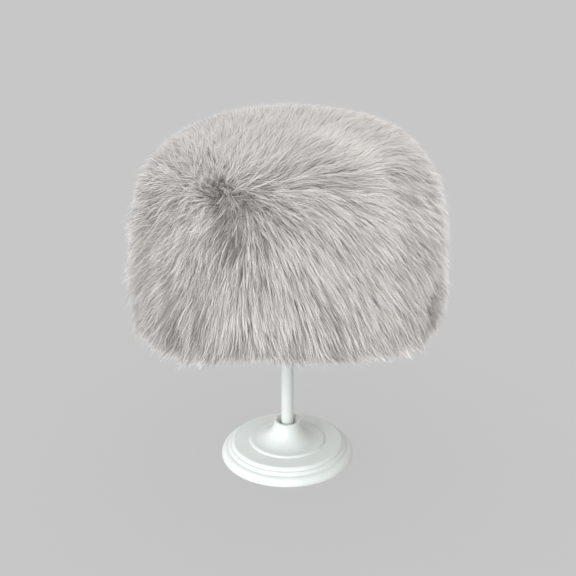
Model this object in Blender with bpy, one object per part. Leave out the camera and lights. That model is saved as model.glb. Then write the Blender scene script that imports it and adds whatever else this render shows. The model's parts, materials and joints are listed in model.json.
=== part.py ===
"""A long-pile faux fur hat, round and brimless, on a white turned display stand.

The hat is a pillbox: a flat top panel sewn on a side band, both of backed fur cloth. The pile of each
panel is its own solid, a thick body of fur with tufts fused to it. Metres, +Z up. The origin is the
middle of the stand's flat foot, and -Y is the front.
"""

import math
from collections import namedtuple

import bmesh
import bpy
from mathutils import Vector

# Stand
FOOT_DIAMETER = 0.119
FOOT_EDGE = 0.0012
LIP_WIDTH = 0.0060
LIP_HEIGHT = 0.0078
RING_DIAMETER = 0.095
RING_HEIGHT = 0.014
DISC_DIAMETER = 0.067
DISC_RISE = 0.0016
COLLAR_DIAMETER = 0.0235
COLLAR_HEIGHT = 0.034
COLLAR_EASE = 0.0006
MOUTH_DIAMETER = 0.0185
MOUTH_DEPTH = 0.004
SOCKET_FLOOR = 0.006
POST_DIAMETER = 0.011
STAND_HEIGHT = 0.270
HEAD_DIAMETER = 0.110
HEAD_THICKNESS = 0.010
HEAD_SOCKET_DEPTH = 0.006
HEAD_EDGE = 0.003

# Hat
HEM_DIAMETER = 0.185
TOP_DIAMETER = 0.176
CROWN_DEPTH = 0.115
CLOTH = 0.0025
SIDE_PILE = 0.0375
TOP_PILE = 0.032
PILE_HANG = 0.018
HEM_SWEEP = 0.015
PARTING_SLOPE = math.radians(45)
TUFT_WIDTH = 0.029
TUFT_THICKNESS = 0.013
TUFT_LENGTH = 0.050
TUFT_LIFT = 0.0075

# Clearances
GAP = 0.0003
SOCKET_CLEARANCE = 0.0003

# Fineness of the facets
STAND_SIDES = 36
POST_SIDES = 24
HAT_SIDES = 36
TUFT_SIDES = 4

# How the pile lies: it radiates from the whorl, leans away from it down the side and parts at the seam.
WHORL_BEARING = math.radians(232)
WHORL_RADIUS_SHARE = 0.95
SIDE_LEAN = math.radians(38)
LEAST_LEAN_SHARE = 0.3
CREST_SHARE = 0.46
PARTING_SETBACK = 0.001
SWEEP_END = 0.40
EDGE_RISE = 0.14
EDGE_SHORTENING = 0.4

# How unevenly the tufts are set: round the hat in tuft spacings, up it and in length in shares.
SCATTER_ROUND = 0.18
SCATTER_UP = 0.03
SCATTER_LENGTH = 0.12
GOLDEN_SHARE = (math.sqrt(5) - 1) / 2

# The pile's outer form without its tufts. Side rows run from under the hem up to the parting: height is
# a share of CROWN_DEPTH above the hem or of PILE_HANG below it, reach a share of SIDE_PILE.
SideRow = namedtuple("SideRow", "height reach")
SIDE_FORM = (
    SideRow(-0.45, 0.14),
    SideRow(-0.72, 0.52),
    SideRow(-0.30, 0.80),
    SideRow(0.16, 0.90),
    SideRow(0.50, 0.90),
    SideRow(0.74, 0.88),
    SideRow(0.96, 0.71),
)
# Top rows run from the middle to the parting: radius is a share of the seam's radius, rise of TOP_PILE.
TopRow = namedtuple("TopRow", "radius rise")
TOP_FORM = (
    TopRow(0.00, 0.82),
    TopRow(0.35, 0.81),
    TopRow(0.70, 0.75),
    TopRow(1.00, 0.60),
)
# Rows of tufts. at is the row's height or radius share, count its tufts, length a share of TUFT_LENGTH.
TuftRow = namedtuple("TuftRow", "at count length width")
SIDE_TUFTS = (
    TuftRow(1.02, 24, 0.90, 1.00),
    TuftRow(0.76, 28, 1.00, 1.00),
    TuftRow(0.46, 28, 0.95, 1.00),
    TuftRow(0.16, 30, 0.70, 0.95),
)
TOP_TUFTS = (
    TuftRow(0.12, 4, 0.85, 1.00),
    TuftRow(0.50, 11, 0.85, 1.00),
    TuftRow(0.88, 20, 0.66, 0.95),
)
# Along a tuft: how far it has run, how wide it is and how far it has risen out of the body.
TuftStation = namedtuple("TuftStation", "run width lift")
TUFT_STATIONS = (
    TuftStation(0.00, 0.90, -0.90),
    TuftStation(0.42, 1.00, 0.35),
    TuftStation(0.76, 0.74, 0.50),
    TuftStation(1.00, 0.00, 0.80),
)

SEAM_RADIUS = TOP_DIAMETER / 2 + CLOTH
PANEL_BOTTOM = STAND_HEIGHT + GAP
PANEL_TOP = PANEL_BOTTOM + CLOTH
HEM_HEIGHT = STAND_HEIGHT - CROWN_DEPTH


def material(name, colour, roughness):
    """A plain finish in the part's own colour."""
    made = bpy.data.materials.new(name)
    made.use_nodes = True
    shader = made.node_tree.nodes["Principled BSDF"]
    shader.inputs["Base Color"].default_value = (*colour, 1.0)
    shader.inputs["Roughness"].default_value = roughness
    shader.inputs["Metallic"].default_value = 0.0
    return made


def add_object(name, bm, finish, sharp_angle=40):
    """Puts a mesh in the scene as one named piece, with its faces pointing out."""
    bmesh.ops.remove_doubles(bm, verts=bm.verts, dist=1e-6)
    bmesh.ops.recalc_face_normals(bm, faces=bm.faces)
    mesh = bpy.data.meshes.new(name)
    bm.to_mesh(mesh)
    bm.free()
    mesh.shade_smooth()
    mesh.set_sharp_from_angle(angle=math.radians(sharp_angle))
    mesh.materials.append(finish)
    piece = bpy.data.objects.new(name, mesh)
    bpy.context.scene.collection.objects.link(piece)
    return piece


def turned(profile, sides):
    """A closed solid turned about Z from the (radius, height) corners of its profile.

    A profile that starts on the axis also ends there; any other is closed from its last corner to its first.
    """
    bm = bmesh.new()
    corners = [bm.verts.new((radius, 0, height)) for radius, height in profile]
    last = [] if profile[0][0] == 0 else [(corners[-1], corners[0])]
    edges = [bm.edges.new(pair) for pair in list(zip(corners, corners[1:])) + last]
    bmesh.ops.spin(
        bm, geom=corners + edges, cent=(0, 0, 0), axis=(0, 0, 1),
        angle=math.tau, steps=sides, use_merge=True,
    )
    on_axis = [v for v in bm.verts if math.hypot(v.co.x, v.co.y) < 1e-7]
    bmesh.ops.remove_doubles(bm, verts=on_axis, dist=1e-6)
    bmesh.ops.dissolve_degenerate(bm, dist=1e-7, edges=bm.edges)
    return bm


def arc(centre, radius_across, radius_up, start, end, steps):
    """Points of an elliptic arc in the profile's plane, from start to end in degrees."""
    points = []
    for step in range(steps + 1):
        angle = math.radians(start + (end - start) * step / steps)
        points.append((centre[0] + radius_across * math.cos(angle), centre[1] + radius_up * math.sin(angle)))
    return points


def stand_base_profile():
    """The turned foot: a round lip, two beads up to a flat ring, a raised disc and a trumpet collar."""
    foot, ring = FOOT_DIAMETER / 2, RING_DIAMETER / 2
    disc, collar = DISC_DIAMETER / 2, COLLAR_DIAMETER / 2
    bead_width = (foot - LIP_WIDTH - ring) / 2
    bead_height = (RING_HEIGHT - LIP_HEIGHT) / 2
    disc_top = RING_HEIGHT + DISC_RISE
    socket = POST_DIAMETER / 2 + SOCKET_CLEARANCE
    profile = [(0, 0), (foot - FOOT_EDGE, 0)]
    profile += arc((foot - LIP_WIDTH, FOOT_EDGE), LIP_WIDTH, LIP_HEIGHT - FOOT_EDGE, 0, 80, 3)
    profile += arc((ring + bead_width, LIP_HEIGHT), bead_width, bead_height, 0, 80, 2)
    profile += arc((ring, LIP_HEIGHT + bead_height), bead_width, bead_height, 0, 90, 2)
    profile += [(disc + DISC_RISE / 2, RING_HEIGHT)]
    profile += [(disc, RING_HEIGHT + DISC_RISE / 2), (disc - DISC_RISE / 2, disc_top)]
    trumpet = (disc - 2 * DISC_RISE, COLLAR_HEIGHT)
    profile += arc(trumpet, trumpet[0] - collar, COLLAR_HEIGHT - disc_top, 270, 186, 5)
    profile += [(collar - COLLAR_EASE, COLLAR_HEIGHT), (MOUTH_DIAMETER / 2, COLLAR_HEIGHT - COLLAR_EASE)]
    profile += [(socket, COLLAR_HEIGHT - MOUTH_DEPTH), (socket, SOCKET_FLOOR), (0, SOCKET_FLOOR)]
    return profile


def make_stand():
    """Foot, post and the plain head under the hat's top panel."""
    white = material("stand_white", (0.86, 0.88, 0.87), 0.35)
    add_object("stand_base", turned(stand_base_profile(), STAND_SIDES), white)
    post = POST_DIAMETER / 2
    post_foot = SOCKET_FLOOR + GAP
    head_bottom = STAND_HEIGHT - HEAD_THICKNESS
    post_top = head_bottom + HEAD_SOCKET_DEPTH - GAP
    post_profile = [(0, post_foot), (post, post_foot), (post, post_top), (0, post_top)]
    add_object("stand_post", turned(post_profile, POST_SIDES), white)
    head, socket = HEAD_DIAMETER / 2, post + SOCKET_CLEARANCE
    profile = [(0, STAND_HEIGHT)]
    profile += arc((head - HEAD_EDGE, STAND_HEIGHT - HEAD_EDGE), HEAD_EDGE, HEAD_EDGE, 90, 0, 2)
    profile += [(head, head_bottom), (socket, head_bottom)]
    profile += [(socket, head_bottom + HEAD_SOCKET_DEPTH), (0, head_bottom + HEAD_SOCKET_DEPTH)]
    add_object("stand_head", turned(profile, STAND_SIDES), white)


def cloth_radius(height):
    """Radius of the side band's outer face at a height, which narrows evenly from the hem to the seam."""
    share = (height - HEM_HEIGHT) / CROWN_DEPTH
    inner = HEM_DIAMETER + (TOP_DIAMETER - HEM_DIAMETER) * min(max(share, 0.0), 1.0)
    return inner / 2 + CLOTH


def make_crown():
    """The backing cloth of the hat: the side band and the top panel sewn on it."""
    backing = material("backing_cloth", (0.62, 0.60, 0.58), 0.9)
    band_top = HEM_HEIGHT + CROWN_DEPTH - GAP
    profile = [(cloth_radius(HEM_HEIGHT), HEM_HEIGHT), (cloth_radius(band_top), band_top)]
    profile += [(radius - CLOTH, height) for radius, height in reversed(profile)]
    add_object("side_band", turned(profile, HAT_SIDES), backing)
    profile = [(0, PANEL_BOTTOM), (SEAM_RADIUS, PANEL_BOTTOM), (SEAM_RADIUS, PANEL_TOP), (0, PANEL_TOP)]
    add_object("top_panel", turned(profile, HAT_SIDES), backing)


def parting(distance):
    """The (radius, height) a distance up the slope where the side's pile and the top's fall apart."""
    return (
        SEAM_RADIUS + distance * math.cos(PARTING_SLOPE),
        PANEL_TOP + distance * math.sin(PARTING_SLOPE),
    )


def side_outline():
    """The (radius, height) corners of the side's pile, from under the hem up to the crest of the parting."""
    corners = []
    for row in SIDE_FORM:
        height = HEM_HEIGHT + row.height * (CROWN_DEPTH if row.height > 0 else PILE_HANG)
        corners.append((cloth_radius(height) + GAP + row.reach * SIDE_PILE, height))
    return corners + [parting(SIDE_PILE * CREST_SHARE)]


def side_radius(height):
    """The body's radius at a height, read between the corners of its outline."""
    corners = side_outline()[1:]
    for (low_radius, low), (high_radius, high) in zip(corners, corners[1:]):
        if height <= high:
            mix = max(0.0, (height - low) / (high - low))
            return low_radius + (high_radius - low_radius) * mix
    return corners[-1][0]


def swept(point):
    """A point of the side's pile, raised at the front where the hem's fur is brushed up."""
    front = max(0.0, -point.y / math.hypot(point.x, point.y)) ** 2
    fade_from = HEM_HEIGHT - PILE_HANG
    fade_over = PILE_HANG + SWEEP_END * CROWN_DEPTH
    low = min(max(1 - (point.z - fade_from) / fade_over, 0.0), 1.0)
    return point + Vector((0, 0, HEM_SWEEP * front * low))


def top_rise(share):
    """The body's rise at a share of the seam's radius, read between the rows of TOP_FORM."""
    for low, high in zip(TOP_FORM, TOP_FORM[1:]):
        if share <= high.radius:
            mix = (share - low.radius) / (high.radius - low.radius)
            return low.rise + (high.rise - low.rise) * mix
    last, before = TOP_FORM[-1], TOP_FORM[-2]
    slope = (last.rise - before.rise) / (last.radius - before.radius)
    return last.rise + slope * (share - last.radius)


def jitter(number, spread):
    """An even scatter from -spread to spread that is the same on every run."""
    return spread * (2 * ((number * GOLDEN_SHARE) % 1.0) - 1)


def add_tuft(bm, stations, width):
    """One tuft through (point, outward, width share) stations, flat like a leaf and drawn to a point."""
    rings = []
    for index, (point, outward, share) in enumerate(stations[:-1]):
        ahead = (stations[index + 1][0] - point).normalized()
        across = ahead.cross(outward).normalized()
        up = across.cross(ahead).normalized()
        ring = []
        for side in range(TUFT_SIDES):
            angle = math.tau * (side + 0.25) / TUFT_SIDES
            offset = across * (width / 2 * math.cos(angle)) + up * (TUFT_THICKNESS / 2 * math.sin(angle))
            ring.append(bm.verts.new(point + offset * share))
        rings.append(ring)
    tip = bm.verts.new(stations[-1][0])
    bm.faces.new(reversed(rings[0]))
    for lower, upper in zip(rings, rings[1:]):
        for side in range(TUFT_SIDES):
            after = (side + 1) % TUFT_SIDES
            bm.faces.new((lower[side], lower[after], upper[after], upper[side]))
    for side in range(TUFT_SIDES):
        bm.faces.new((rings[-1][side], rings[-1][(side + 1) % TUFT_SIDES], tip))


def whorl_place():
    """Where the nap radiates from, on the top near its front left edge."""
    radius = WHORL_RADIUS_SHARE * SEAM_RADIUS
    return Vector((radius * math.cos(WHORL_BEARING), radius * math.sin(WHORL_BEARING)))


def turn_from_whorl(bearing):
    """How far a bearing lies round the hat from the whorl's, from -pi to pi."""
    return (bearing - WHORL_BEARING + math.pi) % math.tau - math.pi


def side_tufts():
    """All tufts of the side as one mesh. They fall down and away from the whorl."""
    bm = bmesh.new()
    number = 0
    for row_number, row in enumerate(SIDE_TUFTS):
        for place in range(row.count):
            number += 1
            stagger = 0.5 * (row_number % 2) + jitter(number, SCATTER_ROUND)
            bearing = math.tau * (place + stagger) / row.count
            start = HEM_HEIGHT + (row.at + jitter(number * 3, SCATTER_UP)) * CROWN_DEPTH
            turn = turn_from_whorl(bearing)
            lean = SIDE_LEAN * math.sin(turn) * max(LEAST_LEAN_SHARE, row.at) * min(1.0, abs(turn))
            run = TUFT_LENGTH * row.length * (1 + jitter(number * 7, SCATTER_LENGTH))
            stations = []
            for station in TUFT_STATIONS:
                height = start - station.run * run * math.cos(lean)
                radius = side_radius(height) + station.lift * TUFT_LIFT
                around = bearing + station.run * run * math.sin(lean) / radius
                outward = Vector((math.cos(around), math.sin(around), 0))
                point = swept(outward * radius + Vector((0, 0, height)))
                stations.append((point, outward, station.width))
            add_tuft(bm, stations, TUFT_WIDTH * row.width)
    return bm


def top_tufts():
    """All tufts of the top as one mesh. They stream away from the whorl and rise at the edge."""
    bm = bmesh.new()
    whorl = whorl_place()
    number = 0
    for row in TOP_TUFTS:
        for place in range(row.count):
            number += 1
            bearing = math.tau * (place + jitter(number, SCATTER_ROUND)) / row.count
            root = Vector((math.cos(bearing), math.sin(bearing))) * (row.at * SEAM_RADIUS)
            flow = (root - whorl).normalized()
            outward_part = max(0.0, flow.dot(root.normalized())) * row.at
            run = TUFT_LENGTH * row.length * (1 + jitter(number * 7, SCATTER_LENGTH))
            run *= 1 - EDGE_SHORTENING * outward_part
            stations = []
            for station in TUFT_STATIONS:
                flat = root + flow * (station.run * run)
                rise = top_rise(flat.length / SEAM_RADIUS) * TOP_PILE
                rise += TUFT_LIFT * station.lift
                rise += outward_part * station.run * run * EDGE_RISE
                point = Vector((flat.x, flat.y, PANEL_TOP + GAP + rise))
                stations.append((point, Vector((0, 0, 1)), station.width))
            add_tuft(bm, stations, TUFT_WIDTH * row.width)
    return bm


def skin_of(mesh):
    """Keeps a mesh's outer skin and drops the air pockets that are shut in between its tufts."""
    bm = bmesh.new()
    bm.from_mesh(mesh)
    unseen = set(bm.faces)
    skins = []
    while unseen:
        skin = {unseen.pop()}
        edge_of_search = set(skin)
        while edge_of_search:
            reached = {f for face in edge_of_search for edge in face.edges for f in edge.link_faces}
            edge_of_search = reached - skin
            skin |= edge_of_search
        unseen -= skin
        skins.append(skin)
    outer = max(skins, key=len)
    bmesh.ops.delete(bm, geom=[face for face in bm.faces if face not in outer], context="FACES")
    bm.to_mesh(mesh)
    bm.free()


def fused(name, body, tufts, finish):
    """The pile's body and its tufts made one solid."""
    piece = add_object(name, body, finish)
    cutter = add_object(name + "_tufts", tufts, finish)
    union = piece.modifiers.new("tufts", "BOOLEAN")
    union.operation = "UNION"
    union.solver = "EXACT"
    union.use_self = True
    union.object = cutter
    graph = bpy.context.evaluated_depsgraph_get()
    joined = bpy.data.meshes.new_from_object(piece.evaluated_get(graph))
    piece.modifiers.remove(union)
    bpy.data.objects.remove(cutter)
    skin_of(joined)
    joined.shade_smooth()
    joined.set_sharp_from_angle(angle=math.radians(60))
    piece.data = joined
    return piece


def make_fur():
    """The pile of the side band and of the top panel."""
    fur = material("grey_fur", (0.56, 0.53, 0.51), 0.85)
    inner_hem = (cloth_radius(HEM_HEIGHT) + GAP, HEM_HEIGHT)
    inner_top = (cloth_radius(HEM_HEIGHT + CROWN_DEPTH) + GAP, PANEL_TOP)
    body = turned([inner_hem] + side_outline() + [inner_top], HAT_SIDES)
    for corner in body.verts:
        corner.co = swept(corner.co)
    fused("side_fur", body, side_tufts(), fur)
    under = PANEL_TOP + GAP
    edge_radius, edge_height = parting(SIDE_PILE * CREST_SHARE - PARTING_SETBACK)
    profile = [(0, under), (SEAM_RADIUS, under), (edge_radius, edge_height + 2 * GAP)]
    profile += [
        (row.radius * SEAM_RADIUS, under + row.rise * TOP_PILE) for row in reversed(TOP_FORM)
    ]
    fused("top_fur", turned(profile, HAT_SIDES), top_tufts(), fur)


for old in list(bpy.data.objects):
    bpy.data.objects.remove(old)
make_stand()
make_crown()
make_fur()
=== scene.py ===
"""The looks of a long-pile faux fur hat on its white turned display stand, for Blender 4.5.

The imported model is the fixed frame. The stand is turned again finer, the cloth gets its knit, and the
pile is made hair by hair. Metres, +Z up, and the front is towards -Y.
"""

import json
import math
from collections import namedtuple

import bmesh
import bpy
import numpy as np
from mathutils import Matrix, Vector

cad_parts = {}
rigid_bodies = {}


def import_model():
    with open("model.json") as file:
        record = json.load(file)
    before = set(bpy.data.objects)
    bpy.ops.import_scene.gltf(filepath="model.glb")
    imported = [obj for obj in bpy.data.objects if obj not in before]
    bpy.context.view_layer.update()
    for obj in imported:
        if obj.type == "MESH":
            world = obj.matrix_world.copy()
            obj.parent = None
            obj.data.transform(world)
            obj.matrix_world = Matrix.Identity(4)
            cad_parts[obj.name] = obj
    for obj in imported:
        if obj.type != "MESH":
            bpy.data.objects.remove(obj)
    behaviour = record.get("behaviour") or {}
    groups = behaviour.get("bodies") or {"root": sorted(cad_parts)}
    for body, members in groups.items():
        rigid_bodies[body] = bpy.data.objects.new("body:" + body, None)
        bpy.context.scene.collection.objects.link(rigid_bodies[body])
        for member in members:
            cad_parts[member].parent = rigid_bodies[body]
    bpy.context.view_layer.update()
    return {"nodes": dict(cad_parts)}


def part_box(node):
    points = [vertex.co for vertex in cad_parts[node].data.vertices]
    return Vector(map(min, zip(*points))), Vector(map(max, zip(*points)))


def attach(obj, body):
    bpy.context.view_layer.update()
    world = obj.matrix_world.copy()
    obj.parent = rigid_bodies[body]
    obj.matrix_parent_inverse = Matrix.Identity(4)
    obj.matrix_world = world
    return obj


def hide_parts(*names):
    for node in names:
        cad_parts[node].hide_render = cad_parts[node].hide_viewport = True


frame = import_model()


# The camera stands before the hat and looks down on it, as the photograph's did. Its distance and
# height come from the ellipse that the round foot of the stand makes in the photograph. PICTURE_RIGHT
# and PICTURE_UP say how many pixels the picture moves, to be framed as the photograph is.
CAMERA_DISTANCE = 0.90
CAMERA_HEIGHT = 0.540
CAMERA_PITCH = math.radians(22.3)
CAMERA_LENS = 71.25
SENSOR = 36.0
FRAME_SIDE = 576
PICTURE_RIGHT = -0.6
PICTURE_UP = 9.6

camera_data = bpy.data.cameras.new("camera")
camera_data.sensor_width = SENSOR
camera_data.lens = CAMERA_LENS
camera_data.shift_x = -PICTURE_RIGHT / FRAME_SIDE
camera_data.shift_y = -PICTURE_UP / FRAME_SIDE
camera = bpy.data.objects.new("camera", camera_data)
camera.location = (0, -CAMERA_DISTANCE, CAMERA_HEIGHT)
camera.rotation_euler = (math.pi / 2 - CAMERA_PITCH, 0, 0)
bpy.context.scene.collection.objects.link(camera)
bpy.context.scene.camera = camera


# The foot of the stand is moulded in glossy white plastic as one turned piece: a round lip, two
# beads up to a flat ring, a raised disc and a trumpet collar with a mouth that the post stands in.
class Socket:
    """A socket in a node tree. Arithmetic on it adds the maths nodes."""

    def __init__(self, nodes, output):
        self.nodes = nodes
        self.output = output

    def maths(self, operation, first, second):
        return self.nodes.node("ShaderNodeMath", {"operation": operation}, {0: first, 1: second})

    def __add__(self, other):
        return self.maths("ADD", self, other)

    __radd__ = __add__

    def __mul__(self, other):
        return self.maths("MULTIPLY", self, other)

    __rmul__ = __mul__


class Nodes:
    """The node tree of a material or a world, made node by node."""

    def __init__(self, owner):
        owner.use_nodes = True
        self.tree = owner.node_tree

    def feed(self, socket, value):
        if isinstance(value, Socket):
            self.tree.links.new(value.output, socket)
        else:
            socket.default_value = value

    def node(self, kind, settings, sockets, output=0):
        made = self.tree.nodes.new(kind)
        for name, value in settings.items():
            if name == "stops":
                ramp = made.color_ramp
                while len(ramp.elements) < len(value):
                    ramp.elements.new(0.5)
                for stop, (place, colour) in zip(ramp.elements, value):
                    stop.position = place
                    stop.color = (*colour, 1.0)
            else:
                setattr(made, name, value)
        for name, value in sockets.items():
            self.feed(made.inputs[name], value)
        return Socket(self, made.outputs[output])

    def shades(self, stops, place):
        """A colour from a ramp of (place, colour) stops."""
        return self.node("ShaderNodeValToRGB", {"stops": stops}, {"Fac": place})


class Finish(Nodes):
    """A material on a Principled shader."""

    def __init__(self, name):
        self.material = bpy.data.materials.new(name)
        super().__init__(self.material)
        self.shader = self.tree.nodes["Principled BSDF"]
        self.out = self.tree.nodes["Material Output"]

    def noise(self, scale, detail=3.0):
        """Noise over the piece's own place, from 0 to 1."""
        place = self.node("ShaderNodeTexCoord", {}, {}, "Object")
        return self.node("ShaderNodeTexNoise", {}, {"Vector": place, "Scale": scale, "Detail": detail})

    def bump(self, height, strength, distance):
        return self.node(
            "ShaderNodeBump", {}, {"Height": height, "Strength": strength, "Distance": distance}
        )

    def set(self, **sockets):
        for name, value in sockets.items():
            self.feed(self.shader.inputs[name.replace("_", " ").title().replace("Ior", "IOR")], value)


def arc(centre, across, up, start, end, steps):
    """(radius, height) points of an elliptic arc from start to end in degrees."""
    turns = [math.radians(start + (end - start) * step / steps) for step in range(steps + 1)]
    return [(centre[0] + across * math.cos(turn), centre[1] + up * math.sin(turn)) for turn in turns]


def turned(name, profile, finish, node, steps=144, sharp=50):
    """A piece spun about Z from (radius, height) points, in place of a node of the frame."""
    bm = bmesh.new()
    points = [bm.verts.new((radius, 0, height)) for radius, height in profile]
    closing = [] if profile[0][0] == 0 else [(points[-1], points[0])]
    edges = [bm.edges.new(pair) for pair in list(zip(points, points[1:])) + closing]
    bmesh.ops.spin(
        bm, geom=points + edges, cent=(0, 0, 0), axis=(0, 0, 1),
        angle=math.tau, steps=steps, use_merge=True,
    )
    bmesh.ops.remove_doubles(bm, verts=bm.verts, dist=1e-6)
    bmesh.ops.dissolve_degenerate(bm, dist=1e-7, edges=bm.edges)
    bmesh.ops.recalc_face_normals(bm, faces=bm.faces)
    mesh = bpy.data.meshes.new(name)
    bm.to_mesh(mesh)
    bm.free()
    mesh.shade_smooth()
    mesh.set_sharp_from_angle(angle=math.radians(sharp))
    mesh.materials.append(finish.material)
    piece = bpy.data.objects.new(name, mesh)
    bpy.context.scene.collection.objects.link(piece)
    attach(piece, "root")
    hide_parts(node)


FOOT_EDGE = 0.0012
LIP_WIDTH = 0.0060
LIP_HEIGHT = 0.0078
RING_RADIUS = 0.0475
RING_HEIGHT = 0.014
DISC_RADIUS = 0.0335
DISC_RISE = 0.0016
COLLAR_RADIUS = 0.01175
COLLAR_EASE = 0.0006
MOUTH_RADIUS = 0.00925
MOUTH_DEPTH = 0.004
SOCKET_RADIUS = 0.0058
SOCKET_FLOOR = 0.006
MOTTLE_SCALE = 60.0
SKIN_SCALE = 900.0

white = Finish("white_plastic")
mottle = white.noise(MOTTLE_SCALE)
white.set(
    base_color=white.shades([(0.3, (0.66, 0.675, 0.66)), (0.7, (0.70, 0.715, 0.70))], mottle),
    roughness=mottle * 0.10 + 0.32,
    normal=white.bump(white.noise(SKIN_SCALE), 0.12, 0.0002),
    coat_weight=0.10,
    coat_roughness=0.16,
)

foot_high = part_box("stand_base")[1]
foot_radius, collar_top = foot_high.x, foot_high.z
bead_width = (foot_radius - LIP_WIDTH - RING_RADIUS) / 2
bead_height = (RING_HEIGHT - LIP_HEIGHT) / 2
disc_top = RING_HEIGHT + DISC_RISE
eased_top = collar_top - COLLAR_EASE
trumpet = (DISC_RADIUS - 2 * DISC_RISE, collar_top)
foot_profile = [(0, 0), (foot_radius - FOOT_EDGE, 0)]
foot_profile += arc((foot_radius - FOOT_EDGE, FOOT_EDGE), FOOT_EDGE, FOOT_EDGE, -60, 0, 4)
foot_profile += arc(
    (foot_radius - LIP_WIDTH, FOOT_EDGE), LIP_WIDTH, LIP_HEIGHT - FOOT_EDGE, 6, 84, 12
)
foot_profile += arc((RING_RADIUS + bead_width, LIP_HEIGHT), bead_width, bead_height, 0, 84, 8)
foot_profile += arc((RING_RADIUS, LIP_HEIGHT + bead_height), bead_width, bead_height, 0, 90, 8)
foot_profile += arc((DISC_RADIUS + DISC_RISE, disc_top), DISC_RISE, DISC_RISE, 268, 200, 4)
foot_profile += arc((DISC_RADIUS - DISC_RISE, RING_HEIGHT), DISC_RISE, DISC_RISE, 30, 90, 4)
foot_profile += arc(trumpet, trumpet[0] - COLLAR_RADIUS, collar_top - disc_top, 268, 184, 14)
foot_profile += arc((COLLAR_RADIUS - COLLAR_EASE, eased_top), COLLAR_EASE, COLLAR_EASE, 20, 90, 4)
foot_profile += arc((MOUTH_RADIUS + COLLAR_EASE, eased_top), COLLAR_EASE, COLLAR_EASE, 90, 180, 4)
foot_profile += [(SOCKET_RADIUS, collar_top - MOUTH_DEPTH), (SOCKET_RADIUS, SOCKET_FLOOR)]
foot_profile += [(0, SOCKET_FLOOR)]
turned("display_foot", foot_profile, white, "stand_base")


# The post is a slim round rod of the same white plastic, pressed into the foot and the head.
POST_STEPS = 64

post_low, post_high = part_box("stand_post")
post_radius = post_high.x
turned(
    "display_post",
    [(0, post_low.z), (post_radius, post_low.z), (post_radius, post_high.z), (0, post_high.z)],
    white, "stand_post", steps=POST_STEPS,
)


# The head that the hat sits on is a plain disc with an eased upper edge, hidden by the hat.
HEAD_EDGE = 0.003
HEAD_SOCKET_DEPTH = 0.006

head_low, head_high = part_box("stand_head")
head_profile = [(0, head_high.z)]
head_profile += arc((head_high.x - HEAD_EDGE, head_high.z - HEAD_EDGE), HEAD_EDGE, HEAD_EDGE, 90, 0, 8)
head_profile += [(head_high.x, head_low.z), (SOCKET_RADIUS, head_low.z)]
head_profile += [(SOCKET_RADIUS, head_low.z + HEAD_SOCKET_DEPTH), (0, head_low.z + HEAD_SOCKET_DEPTH)]
turned("display_head", head_profile, white, "stand_head")


# The side band and the top panel are the backing of the faux fur: a close knitted cloth in the
# pile's own grey, the band sewn into a ring and the panel sewn on it. They show from below alone.
# Blender's wave texture repeats every WAVE_AT_SCALE_1 metres at a scale of 1.
KNIT_ROW = 0.0041469
WAVE_AT_SCALE_1 = math.tau / 20
YARN_SCALE = 260.0
FIBRE_SCALE = 1400.0

cloth = Finish("backing_cloth")
cloth_place = cloth.node("ShaderNodeTexCoord", {}, {}, "Object")
ribs = cloth.node(
    "ShaderNodeTexWave", {"wave_type": "BANDS", "bands_direction": "Z"},
    {"Vector": cloth_place, "Scale": WAVE_AT_SCALE_1 / KNIT_ROW, "Distortion": 2.0, "Detail": 2.0},
)
cloth.set(
    base_color=cloth.shades(
        [(0.1, (0.36, 0.345, 0.33)), (0.9, (0.50, 0.48, 0.46))],
        ribs * 0.5 + cloth.noise(YARN_SCALE) * 0.5,
    ),
    roughness=0.92,
    normal=cloth.bump(ribs + cloth.noise(FIBRE_SCALE), 0.5, 0.0006),
)
for backing in ("side_band", "top_panel"):
    frame["nodes"][backing].data.materials.clear()
    frame["nodes"][backing].data.materials.append(cloth.material)


# The underfur is the short dense fur between the long hairs, knitted into the backing with them. It
# has the pile's own form at a lower level, and keeps the cloth from showing through. In the pile's
# tables a place is 0 at the top's middle, 1 at the seam and 2 at the hem, and tilt is in degrees.
PileRow = namedtuple("PileRow", "place stand_off tilt")
PILE_ROWS = (
    PileRow(0.00, 0.0370, 90),
    PileRow(0.50, 0.0370, 84),
    PileRow(0.83, 0.0318, 62),
    PileRow(1.00, 0.0235, 41),
    PileRow(1.17, 0.0345, 22),
    PileRow(1.42, 0.0395, 10),
    PileRow(1.67, 0.0402, 2),
    PileRow(1.87, 0.0402, -5),
    PileRow(2.03, 0.0390, -12),
    PileRow(2.14, 0.0310, -16),
)
UNDERFUR_LEVEL = 0.40
UNDERFUR_END = 0.70
UNDERFUR_PLACES = 24
UNDERFUR_TUCK = 0.004
UNDERFUR_STEPS = 96
CURL_SCALE = 700.0

band_low, band_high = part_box("side_band")
panel_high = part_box("top_panel")[1]
seam_radius, seam_height = panel_high.x, panel_high.z
hem_radius, hem_height = band_high.x, band_low.z
side_depth = seam_height - hem_height


def lengths(vectors):
    return np.linalg.norm(vectors, axis=-1)


def unit(vectors):
    """The vectors at a length of 1. One that has no length keeps none."""
    return vectors / np.maximum(lengths(vectors), 1e-9)[..., None]


def reading(rows, column, marks, period=None):
    """A column of a table, read between its rows at marks along its first column."""
    known = [getattr(row, column) for row in rows]
    return np.interp(marks, [row[0] for row in rows], known, period=period)


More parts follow.
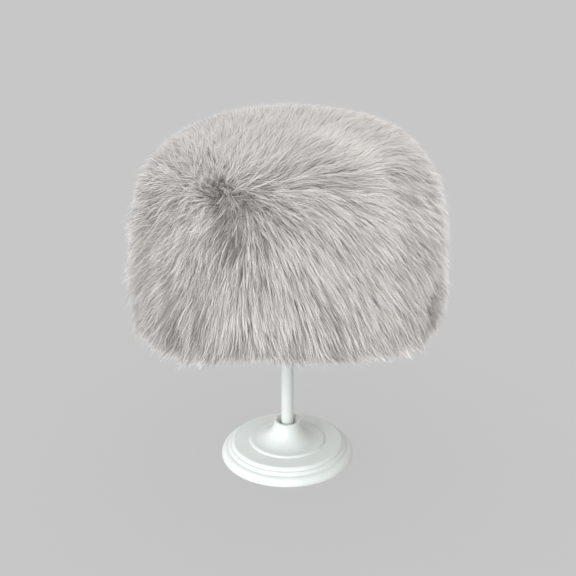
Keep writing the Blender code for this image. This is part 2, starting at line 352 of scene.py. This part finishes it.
def in_pile(ground, level):
    """The point in space at a level of the pile, 0 on the cloth and 1 at its outer form.

    ground is a place on the cloth, laid out flat round the top's middle.
    """
    along = lengths(ground)
    down = np.maximum(along - seam_radius, 0.0)
    on_top = along < seam_radius
    place = np.where(on_top, along / seam_radius, 1 + down / side_depth)
    flare = (hem_radius - seam_radius) * down / side_depth
    tilt = np.radians(reading(PILE_ROWS, "tilt", place))
    stand_off = reading(PILE_ROWS, "stand_off", place) * level
    radius = np.where(on_top, along, seam_radius + flare) + stand_off * np.cos(tilt)
    height = seam_height - down + stand_off * np.sin(tilt)
    return np.concatenate([unit(ground) * radius[..., None], height[..., None]], axis=-1)


def underfur_form(first, last):
    """(radius, height) points of the underfur's outer form, between distances from the top's middle."""
    alongs = np.linspace(first, last, UNDERFUR_PLACES)
    points = in_pile(np.stack([alongs, 0 * alongs], axis=-1), UNDERFUR_LEVEL)
    return [(round(float(point[0]), 6), round(float(point[2]), 6)) for point in points]


# The underfur is painted a darker grey than the long hairs: painted shade deep in the pile.
underfur = Finish("underfur")
curl = underfur.noise(CURL_SCALE, 4.0)
underfur.set(
    base_color=underfur.shades([(0.35, (0.27, 0.256, 0.245)), (0.65, (0.42, 0.403, 0.39))], curl),
    roughness=0.95,
    normal=underfur.bump(curl, 0.8, 0.001),
)

side_form = underfur_form(seam_radius, seam_radius + UNDERFUR_END * side_depth)
side_form += [(hem_radius, side_form[-1][1] + UNDERFUR_TUCK), (hem_radius, seam_height)]
turned(
    "side_underfur", side_form, underfur, "side_fur", steps=UNDERFUR_STEPS, sharp=180
)
top_form = underfur_form(0.0, seam_radius) + [(seam_radius, seam_height), (0.0, seam_height)]
turned("top_underfur", top_form, underfur, "top_fur", steps=UNDERFUR_STEPS, sharp=180)


# The pile is long faux fur: soft straight hairs that lie in wisps, painted darker towards the root as
# painted shade deep in the pile. It streams away from a whorl on the front left shoulder, parts along
# the seam and falls down the side. Each wisp takes a path over the cloth laid out flat, and its hairs
# rise along it to the pile's form.
WHORL_BEARING = math.radians(236.5)
WHORL_IN_SEAM_RADII = 1.03
WHORL_SOFT = 0.029
WHORL_SCATTER = math.radians(31)
TOP_SWEEP = 0.55
TOP_SWEEP_START = 0.004
TOP_SWEEP_WIDTH = 0.022
TOP_SWEEP_SOFT = 0.03
PART_START = 0.003
PART_WIDTH = 0.033

# How far the falling pile leans round the hat, as a tangent, at bearings in degrees.
LeanRow = namedtuple("LeanRow", "bearing lean")
LEAN_ROWS = (
    LeanRow(33, 0.40),
    LeanRow(48, 0.00),
    LeanRow(108, -0.80),
    LeanRow(168, -1.20),
    LeanRow(215, -1.05),
    LeanRow(234, -0.40),
    LeanRow(247, 0.00),
    LeanRow(251, 0.05),
    LeanRow(260, 0.62),
    LeanRow(275, 0.82),
    LeanRow(318, 0.78),
    LeanRow(358, 0.80),
)
HEM_LEAN = 0.45
HEM_LEAN_END = 1.2

# Where the pile has fallen apart, and patches of painted shade and light. Depth is the share of its
# height that it lacks there, and shade is painted shade that darkens it there, painted light where it is
# negative.
HollowAndShade = namedtuple("HollowAndShade", "bearing place across depth shade")
HOLLOWS_AND_SHADES = (
    HollowAndShade(162, 1.00, 0.045, 0.16, 0.00),
    HollowAndShade(238, 1.03, 0.012, 0.06, -0.12),
    HollowAndShade(243, 1.08, 0.010, 0.08, 0.02),
    HollowAndShade(245, 1.15, 0.009, 0.22, 0.36),
    HollowAndShade(250, 1.20, 0.012, 0.30, 0.54),
    HollowAndShade(247, 1.29, 0.010, 0.34, 0.44),
    HollowAndShade(252, 1.38, 0.011, 0.48, 0.58),
    HollowAndShade(256, 1.15, 0.010, 0.16, 0.38),
    HollowAndShade(260, 1.18, 0.014, 0.10, 0.22),
    HollowAndShade(268, 1.20, 0.015, 0.10, 0.18),
    HollowAndShade(280, 1.25, 0.016, 0.02, -0.06),
    HollowAndShade(285, 1.66, 0.008, 0.40, 0.36),
    HollowAndShade(288, 1.80, 0.009, 0.36, 0.36),
    HollowAndShade(226, 1.97, 0.019, 0.30, 0.30),
    HollowAndShade(238, 1.97, 0.013, 0.16, 0.16),
    HollowAndShade(337, 1.92, 0.026, 0.26, 0.34),
    HollowAndShade(327, 1.70, 0.050, 0.04, 0.26),
    HollowAndShade(208, 1.60, 0.050, 0.08, 0.30),
    HollowAndShade(213, 1.24, 0.026, 0.04, 0.16),
    HollowAndShade(320, 0.93, 0.050, 0.00, -0.10),
    HollowAndShade(238, 1.68, 0.025, 0.04, 0.30),
    HollowAndShade(226, 1.80, 0.026, 0.00, 0.22),
    HollowAndShade(265, 1.90, 0.022, 0.00, -0.40),
    HollowAndShade(345, 1.30, 0.022, 0.00, 0.16),
    HollowAndShade(302, 1.03, 0.014, 0.04, 0.14),
    HollowAndShade(207, 1.12, 0.018, 0.00, -0.12),
    HollowAndShade(225, 0.95, 0.012, 0.04, 0.14),
)
DEEPEST_HOLLOW = 0.46
# The most painted shade that the patches give together.
DARKEST_PAINTED_SHADE = 0.62

# How much higher the pile ends at the front of the hem than at its back.
HemRow = namedtuple("HemRow", "bearing rise")
HEM_ROWS = (
    HemRow(215, 0.0000),
    HemRow(231, 0.0066),
    HemRow(241, 0.0150),
    HemRow(252, 0.0218),
    HemRow(262, 0.0238),
    HemRow(277, 0.0228),
    HemRow(291, 0.0208),
    HemRow(307, 0.0148),
    HemRow(320, 0.0105),
    HemRow(335, 0.0010),
    HemRow(345, 0.0000),
)
HEM_RAGGED = 0.0018
HEM_RAGGED_MOST = 1.2
HEM_EASE = 0.010

# The wisps' roots and paths. A swell is a slow unevenness over the cloth, with its own wave length.
SIDE_WISPS = 15600
TOP_WISPS = 5800
WHORL_WISPS = 460
WHORL_WISPS_SPREAD = 0.42
ROOT_RINGS = 400
ROOT_GIRTH_PAST_SEAM = 0.02
ROOT_TURN = 0.02
ROOT_DRIFT = 0.0008
Swell = namedtuple("Swell", "wave seed")
SWELL_WAVES = 4
SWELL_HEIGHT = 2.5
TURN = math.radians(8)
TURN_SWELL = Swell(0.055, 3)
SMALL_TURN = math.radians(4.5)
SMALL_TURN_SWELL = Swell(0.023, 4)
TURN_AT_ROOT = 0.75
WISP_SCATTER = math.radians(4.5)
HAIR_RUN = 0.033
RUN_UNLIKE = 0.16
RUN_UNEVEN = 0.10
RUN_SWELL = Swell(0.05, 5)
PATH_STEPS = 12
PACE_AT_ROOT = 0.35
PACE_GAIN = 1.3

# What differs between the pile of the top and that of the side. Shade is painted shade, which darkens
# the top against the light that falls on it from above.
Coat = namedtuple("Coat", "unlike uneven tufts closing tone_spread shade stray_light")
TOP_COAT = Coat(
    unlike=0.01, uneven=0.02, tufts=0.045, closing=0.15, tone_spread=0.02, shade=0.21, stray_light=0.0
)
SIDE_COAT = Coat(
    unlike=0.085, uneven=0.05, tufts=0.02, closing=0.70, tone_spread=0.34, shade=0.0, stray_light=0.3
)
LEAST_UNLIKE = -2.5
MOST_UNLIKE = 1.5
LIFT_SWELL = Swell(0.035, 9)
TUFT_SWELL = Swell(0.013, 12)

# The hairs of a wisp, and the strays among them, which stand up and drift out of it.
HAIRS_IN_WISP = 8
WISP_RADIUS = 0.001625
CLOSING_LEAST = 0.75
CLOSING_MOST = 1.25
CLOSING_POWER = 1.3
LOWEST_LACKS = 0.40
LOWEST_POWER = 1.7
SHORTEST_LACKS = 0.28
SHORTEST_POWER = 1.5
LIE_DOWN = 1.65
LIE_DOWN_SPREAD = 0.35
HAIR_DRIFT = 0.0012
STRAY_SHARE = 0.08
STRAY_LIFT = 1.08
STRAY_DRIFT = 0.0035
STRAY_LIE_DOWN = 1.2
STATIONS = (0.0, 0.40, 0.74, 1.0)
HAIR_TAPER = (0.8, 1.0, 0.75)
HAIR_ROLL = math.radians(38)
HAIR_WIDTH = 0.00055
WIDTH_LEAST = 0.7
WIDTH_MOST = 1.25
SIDE_STEP = 0.001

# The hairs' tones, from 0 for the darkest to 1 for the lightest.
MIDDLE_TONE = 0.54
TONE_UNEVEN = 0.06
TONE_SWELL = Swell(0.06, 11)
WISP_TONE = 0.8
# WISP_SIDE_SHADING paints the hairs on opposite sides of each wisp lighter and darker, turned at random:
# painted light and shade across the wisp.
WISP_SIDE_SHADING = 0.7
HAIR_TONE = 0.7
TONE_WIDTH = 0.012
TONE_MARGIN = 0.02
# HEM_SHADE paints the hairs whose tips reach the hem darker: painted shade under the hat's lower edge.
HEM_SHADE = 0.24
HEM_SHADE_START = 0.80
HEM_SHADE_WIDTH = 0.25

random = np.random.default_rng(7)


def towards(bearing):
    """Flat directions at bearings in radians."""
    return np.stack([np.cos(bearing), np.sin(bearing)], axis=-1)


def left_of(flat):
    """Flat directions turned a quarter to the left."""
    return np.stack([-flat[..., 1], flat[..., 0]], axis=-1)


def bearings(ground):
    """Bearings in degrees, from 0 to 360."""
    return np.degrees(np.arctan2(ground[..., 1], ground[..., 0])) % 360


def smooth_step(values):
    held = np.clip(values, 0.0, 1.0)
    return held * held * (3 - 2 * held)


whorl_ground = seam_radius * WHORL_IN_SEAM_RADII * towards(WHORL_BEARING)


def lie(ground):
    """Which way the pile lies at places on the flat layout: away from the whorl, and down the side.

    The length is 1, and less near the whorl, where the hairs stand up.
    """
    away = ground - whorl_ground
    distance = lengths(away)
    along = lengths(ground)
    outward = unit(ground)
    down = np.maximum(along - seam_radius, 0.0)
    lean = reading(LEAN_ROWS, "lean", bearings(ground), 360)
    lean = lean * (1 - HEM_LEAN * np.minimum(down / side_depth, HEM_LEAN_END))
    falling = unit(outward + left_of(outward) * lean[..., None])
    side_share = smooth_step((down - PART_START) / PART_WIDTH)[..., None]
    above = smooth_step((seam_radius + TOP_SWEEP_START - along) / TOP_SWEEP_WIDTH)
    back = TOP_SWEEP * above * smooth_step(distance / TOP_SWEEP_SOFT)
    swept = unit(unit(away) + np.stack([np.zeros_like(back), back], axis=-1))
    flow = unit(swept * (1 - side_share) + falling * side_share)
    return flow * smooth_step(distance / WHORL_SOFT)[..., None]


def swirl(ground, swell):
    """A swell's height at places, from about -1 to 1."""
    waves = np.random.default_rng(swell.seed).uniform(0, math.tau, (SWELL_WAVES, 2))
    total = 0
    for heading, phase in waves:
        forward = ground[..., 0] * math.cos(heading) + ground[..., 1] * math.sin(heading)
        total = total + np.sin(forward / swell.wave * math.tau + phase)
    return total / SWELL_HEIGHT


def wisp_grounds(count, inner, outer):
    """Evenly spread roots of wisps on the flat layout, between two distances from the top's middle."""
    number = np.arange(count)
    share = (number + 0.5) / count
    alongs = np.linspace(inner, outer, ROOT_RINGS)
    gathered = np.cumsum(np.minimum(alongs, seam_radius + ROOT_GIRTH_PAST_SEAM))
    along = np.interp(share * gathered[-1], gathered, alongs)
    golden_turn = math.pi * (3 - math.sqrt(5))
    bearing = number * golden_turn + random.uniform(-ROOT_TURN, ROOT_TURN, count)
    return along[:, None] * towards(bearing) + random.normal(0, ROOT_DRIFT, (count, 2))


def near_whorl(count, inner, outer):
    """More roots round the whorl, where the pile stands up and would show its depth."""
    ground = random.normal(0, WHORL_SOFT * WHORL_WISPS_SPREAD, (count, 2)) + whorl_ground
    along = lengths(ground)
    return ground[(along >= inner) & (along < outer)]


def wisp_paths(roots):
    """The way each wisp takes over the layout, as PATH_STEPS + 1 places."""
    turn = TURN * swirl(roots, TURN_SWELL) + SMALL_TURN * swirl(roots, SMALL_TURN_SWELL)
    from_whorl = lengths(roots - whorl_ground)
    scatter = WISP_SCATTER + WHORL_SCATTER * np.exp(-(from_whorl / WHORL_SOFT) ** 2)
    turn = turn + scatter * random.normal(0, 1, len(roots))
    unlike = RUN_UNLIKE * random.normal(0, 1, len(roots))
    run = HAIR_RUN * (1 + unlike + RUN_UNEVEN * swirl(roots, RUN_SWELL))
    path = [roots]
    for step in range(PATH_STEPS):
        flow = lie(path[-1])
        bent = turn * (TURN_AT_ROOT + (1 - TURN_AT_ROOT) * step / PATH_STEPS)
        flow = flow * np.cos(bent)[:, None] + left_of(flow) * np.sin(bent)[:, None]
        pace = PACE_AT_ROOT + PACE_GAIN * step / PATH_STEPS
        path.append(path[-1] + flow * (run * pace / PATH_STEPS)[:, None])
    return np.stack(path, axis=1)


def on_path(paths, wisp, steps):
    """Where a hair of a wisp is after so many steps of its wisp's path, whole or not."""
    whole = np.minimum(steps.astype(int), PATH_STEPS - 1)
    part = (steps - whole)[..., None]
    return paths[wisp[:, None], whole] * (1 - part) + paths[wisp[:, None], whole + 1] * part


def hollows_and_painted_shade(ground, column, most):
    """The pile's lack of height at places for the depth column, and its painted shade for the shade
    column, painted light where negative.
    """
    missing = 0
    for spot in HOLLOWS_AND_SHADES:
        along = seam_radius + (spot.place - 1) * side_depth
        away = ground - along * towards(math.radians(spot.bearing))
        missing = missing + getattr(spot, column) * np.exp(-(lengths(away) / spot.across) ** 2)
    return np.minimum(missing, most)


def hem_limited(ground, ragged):
    """Holds the tips back where the pile ends under the hem, higher at the front."""
    along = lengths(ground)
    rise = reading(HEM_ROWS, "rise", bearings(ground))
    limit = seam_radius + (PILE_ROWS[-1].place - 1) * side_depth - rise + HEM_RAGGED * ragged
    over = np.maximum(along - (limit - HEM_EASE), 0.0)
    held = np.where(over > 0, limit - HEM_EASE * np.exp(-over / HEM_EASE), along)
    return ground * (held / np.maximum(along, 1e-9))[..., None]


def blades(points, sideways, roll, width):
    """The left and right edges of flat hairs, at all their stations but the tip."""
    ahead = unit(np.gradient(points, axis=1))
    upright = np.cross(sideways, ahead)
    blade = sideways * np.cos(roll)[:, None, None] + upright * np.sin(roll)[:, None, None]
    half = 0.5 * width[:, None] * np.array(HAIR_TAPER)[None, :]
    reach = blade[:, :-1] * half[..., None]
    return points[:, :-1] - reach, points[:, :-1] + reach


def hair_mesh(name, verts, tone):
    """One mesh of tapered hairs. Its map runs along u with the hair's tone and along v to its tip."""
    hairs, each = verts.shape[:2]
    quads = len(STATIONS) - 2
    one = []
    for quad in range(quads):
        one += [2 * quad, 2 * quad + 1, 2 * quad + 3, 2 * quad + 2]
    one = np.array(one + [2 * quads, 2 * quads + 1, 2 * quads + 2])
    corners = (one[None, :] + each * np.arange(hairs)[:, None]).ravel()
    starts = (4 * np.arange(quads + 1)[None, :] + len(one) * np.arange(hairs)[:, None]).ravel()
    mesh = bpy.data.meshes.new(name)
    mesh.vertices.add(hairs * each)
    mesh.vertices.foreach_set("co", verts.astype(np.float32).ravel())
    mesh.loops.add(len(corners))
    mesh.loops.foreach_set("vertex_index", corners.astype(np.int32))
    mesh.polygons.add(len(starts))
    mesh.polygons.foreach_set("loop_start", starts.astype(np.int32))
    mesh.update(calc_edges=True)
    side = np.array([0, 1] * (quads + 1) + [0.5])
    station = np.append(np.repeat(STATIONS[:-1], 2), STATIONS[-1])
    u = tone[:, None] + TONE_WIDTH * (side[None, :] - 0.5)
    uv = np.stack([u, np.broadcast_to(station, u.shape)], axis=-1)[:, one].reshape(-1)
    layer = mesh.uv_layers.new(name="OFBake")
    layer.uv.foreach_set("vector", uv.astype(np.float32))
    mesh.shade_smooth()
    mesh.materials.append(fur.material)
    return mesh


def make_pile(name, wisps, node, sectors):
    """Grows the hairs of one panel's pile, as one mesh for each sector of bearings."""
    paths = wisp_paths(wisps)
    count = len(wisps) * HAIRS_IN_WISP
    wisp = np.repeat(np.arange(len(wisps)), HAIRS_IN_WISP)
    stations = np.array(STATIONS)
    on_top = lengths(wisps) < seam_radius
    coat = Coat(*(np.where(on_top, top, side) for top, side in zip(TOP_COAT, SIDE_COAT)))
    from_middle = WISP_RADIUS * np.sqrt(random.uniform(0, 1, count))
    around = random.uniform(0, math.tau, count)
    unlike = np.clip(random.normal(0, 1, len(wisps)), LEAST_UNLIKE, MOST_UNLIKE)
    wisp_lift = 1 + coat.unlike * unlike
    wisp_lift = wisp_lift + coat.uneven * swirl(wisps, LIFT_SWELL)
    wisp_lift = wisp_lift + coat.tufts * swirl(wisps, TUFT_SWELL)
    middle = paths[:, PATH_STEPS * 5 // 6]
    wisp_lift = wisp_lift * (1 - hollows_and_painted_shade(middle, "depth", DEEPEST_HOLLOW))
    lift = wisp_lift[wisp] * (1 - LOWEST_LACKS * random.uniform(0, 1, count) ** LOWEST_POWER)
    stray = random.uniform(0, 1, count) < STRAY_SHARE
    lift = np.where(stray, lift * STRAY_LIFT, lift)
    length = 1 - SHORTEST_LACKS * random.uniform(0, 1, count) ** SHORTEST_POWER
    drift = random.normal(0, 1, count) * np.where(stray, STRAY_DRIFT, HAIR_DRIFT)
    closing = coat.closing[wisp] * random.uniform(CLOSING_LEAST, CLOSING_MOST, count)
    lie_down = LIE_DOWN + LIE_DOWN_SPREAD * random.uniform(-1, 1, count)
    lie_down = np.where(stray, STRAY_LIE_DOWN, lie_down)
    ragged = np.minimum(random.normal(0, 1, count), HEM_RAGGED_MOST)
    roll = random.normal(0, HAIR_ROLL, count)
    width = HAIR_WIDTH * random.uniform(WIDTH_LEAST, WIDTH_MOST, count)

    # Opposite sides of each wisp are painted lighter and darker: painted light and shade across the
    # wisp.
    wisp_side_shading = np.sin(2 * around + random.uniform(0, math.tau, len(wisps))[wisp])
    own_tone_and_side_shading = WISP_TONE * random.normal(0, 1, len(wisps))[wisp] + WISP_SIDE_SHADING * wisp_side_shading
    own_tone_and_side_shading = own_tone_and_side_shading + HAIR_TONE * random.normal(0, 1, count)
    # The wisps near the hem get painted shade.
    below_seam = (lengths(middle) - seam_radius) / side_depth
    near_hem = smooth_step((below_seam - HEM_SHADE_START) / HEM_SHADE_WIDTH)
    # Each wisp's tone is its random tone less painted shade, in the pile's partings and patches, near
    # the hem and on the top, with painted light where a patch's shade is negative.
    wisp_tone = MIDDLE_TONE + TONE_UNEVEN * swirl(wisps, TONE_SWELL)
    wisp_tone = wisp_tone - hollows_and_painted_shade(middle, "shade", DARKEST_PAINTED_SHADE) - HEM_SHADE * near_hem - coat.shade
    tone = wisp_tone[wisp] + coat.tone_spread[wisp] * own_tone_and_side_shading + coat.stray_light[wisp] * stray
    tone = np.clip(tone, TONE_MARGIN, 1 - TONE_MARGIN)

    ground = on_path(paths, wisp, stations[None, :] * length[:, None] * PATH_STEPS)
    across = left_of(unit(paths[wisp, -1] - paths[wisp, 0]))[:, None, :]
    offset = (from_middle[:, None] * towards(around))[:, None, :]
    ground = ground + offset * (1 - closing[:, None] * stations[None, :] ** CLOSING_POWER)[..., None]
    ground = ground + across * (drift[:, None] * stations[None, :] ** 2)[..., None]
    ground = hem_limited(ground, ragged[:, None])
    level = lift[:, None] * (1 - (1 - stations[None, :]) ** lie_down[:, None])
    points = in_pile(ground, level)
    sideways = unit(in_pile(ground + across * SIDE_STEP, level) - points)
    left, right = blades(points, sideways, roll, width)

    sector = (bearings(wisps) / 360 * sectors).astype(int)[wisp]
    for number in range(sectors):
        chosen = sector == number
        pairs = np.stack([left[chosen], right[chosen]], axis=2).reshape(chosen.sum(), -1, 3)
        verts = np.concatenate([pairs, points[chosen, -1:]], axis=1)
        piece_name = f"{name}_{number + 1}"
        piece = bpy.data.objects.new(piece_name, hair_mesh(piece_name, verts, tone[chosen]))
        bpy.context.scene.collection.objects.link(piece)
        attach(piece, "root")
        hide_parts(node)


fur = Finish("grey_fur")
hair_place = fur.node("ShaderNodeUVMap", {"uv_map": "OFBake"}, {})
hair_tone = fur.node("ShaderNodeSeparateXYZ", {}, {0: hair_place}, 0)
hair_along = fur.node("ShaderNodeSeparateXYZ", {}, {0: hair_place}, 1)
# Each hair is painted darker towards its root and lightest at its tip: painted shade deep in the pile.
root_to_tip = fur.shades(
    [
        (0.0, (0.29, 0.272, 0.259)),
        (0.50, (0.46, 0.441, 0.427)),
        (0.80, (0.80, 0.778, 0.763)),
        (1.0, (0.99, 0.972, 0.958)),
    ],
    hair_along,
)
# The tint follows each hair's tone, which holds its random tone and the painted shade and light of
# make_pile.
tint = fur.shades(
    [(0.0, (0.42, 0.408, 0.40)), (0.5, (0.89, 0.885, 0.88)), (1.0, (1.0, 1.0, 1.0))], hair_tone
)
hair_colour = fur.node(
    "ShaderNodeMix", {"data_type": "RGBA", "blend_type": "MULTIPLY"},
    {0: 1.0, 6: root_to_tip, 7: tint}, 2,
)
fur.set(base_color=hair_colour, roughness=0.6)
see_through = fur.node("ShaderNodeBsdfTranslucent", {}, {"Color": (0.66, 0.64, 0.625, 1.0)})
glowing = fur.node(
    "ShaderNodeMixShader", {}, {0: 0.3, 1: Socket(fur, fur.shader.outputs[0]), 2: see_through}
)
fur.feed(fur.out.inputs["Surface"], glowing)

hem_along = seam_radius + side_depth
top_grounds = wisp_grounds(TOP_WISPS, 0.0, seam_radius)
side_grounds = wisp_grounds(SIDE_WISPS, seam_radius, hem_along)
top_grounds = np.concatenate([top_grounds, near_whorl(WHORL_WISPS, 0.0, seam_radius)])
side_grounds = np.concatenate([side_grounds, near_whorl(WHORL_WISPS, seam_radius, hem_along)])
make_pile("top_pile", top_grounds, "top_fur", 2)
make_pile("side_pile", side_grounds, "side_fur", 5)


# The floor is one wide sheet of plain pale paper, which isn't part of the object. It glows a little,
# so that it holds one even shade under the hat too, as the photograph's background does.
FLOOR_HALF = 30.0
FLOOR_DROP = 0.0002
FLOOR_GLOW = 0.495

floor_bm = bmesh.new()
bmesh.ops.create_grid(floor_bm, x_segments=1, y_segments=1, size=FLOOR_HALF)
floor_mesh = bpy.data.meshes.new("floor")
floor_bm.to_mesh(floor_mesh)
floor_bm.free()
floor = bpy.data.objects.new("floor", floor_mesh)
floor.location.z = -FLOOR_DROP
bpy.context.scene.collection.objects.link(floor)
paper = Finish("floor_paper")
paper.set(base_color=(0.08, 0.08, 0.08, 1.0), roughness=1.0, specular_ior_level=0.0)
paper.set(emission_color=(1.0, 1.0, 1.0, 1.0), emission_strength=FLOOR_GLOW)
floor_mesh.materials.append(paper.material)


# The light is a soft white tent, dimmer to the right of the picture. A broad key lamp from the front
# and a broader fill lamp from behind light the hat, and a cooler lamp from the front left lights the
# stand, because the photograph lights the two differently.
TENT_LIGHT = 1.10
TENT_SIDES = [(0.0, (0.88, 0.88, 0.88)), (0.45, (0.97, 0.97, 0.97)), (0.9, (0.68, 0.68, 0.66))]
BACKDROP = 0.571
STAND_PIECES = ("display_foot", "display_post", "display_head")

world = bpy.data.worlds.new("tent")
tent = Nodes(world)
outwards = tent.node("ShaderNodeTexCoord", {}, {}, "Generated")
rightwards = tent.node("ShaderNodeSeparateXYZ", {}, {0: outwards}, "X") * 0.5 + 0.5
tent_colour = tent.shades(TENT_SIDES, rightwards)
tent_light = tent.node("ShaderNodeBackground", {}, {"Color": tent_colour, "Strength": TENT_LIGHT})
backdrop = tent.node("ShaderNodeBackground", {}, {"Color": (BACKDROP, BACKDROP, BACKDROP, 1.0)})
seen = tent.node("ShaderNodeLightPath", {}, {}, "Is Camera Ray")
either = tent.node("ShaderNodeMixShader", {}, {0: seen, 1: tent_light, 2: backdrop})
tent.feed(world.node_tree.nodes["World Output"].inputs["Surface"], either)
bpy.context.scene.world = world

stand_pieces = bpy.data.collections.new("stand_pieces")
hat_pieces = bpy.data.collections.new("hat_pieces")
for piece in bpy.context.scene.objects:
    if piece.type == "MESH" and piece != floor:
        lit_with = stand_pieces if piece.name in STAND_PIECES else hat_pieces
        lit_with.objects.link(piece)


def lamp(name, heading, energy, spread, colour, pieces):
    """A broad far lamp that shines along its heading, on some pieces."""
    light = bpy.data.lights.new(name, "SUN")
    light.angle = math.radians(spread)
    light.energy = energy
    light.color = colour
    made = bpy.data.objects.new(name, light)
    made.rotation_euler = Vector(heading).to_track_quat("-Z", "Y").to_euler()
    made.light_linking.receiver_collection = pieces
    bpy.context.scene.collection.objects.link(made)


lamp("hat_key", (0.00, 0.92, -0.34), 3.2, 45, (1.0, 1.0, 1.0), hat_pieces)
lamp("hat_fill", (-0.36, -0.80, -0.46), 1.5, 80, (1.0, 1.0, 1.0), hat_pieces)
lamp("stand_key", (0.48, 0.76, -0.41), 2.85, 55, (0.92, 1.0, 1.0), stand_pieces)

bpy.context.scene.view_settings.view_transform = "Standard"
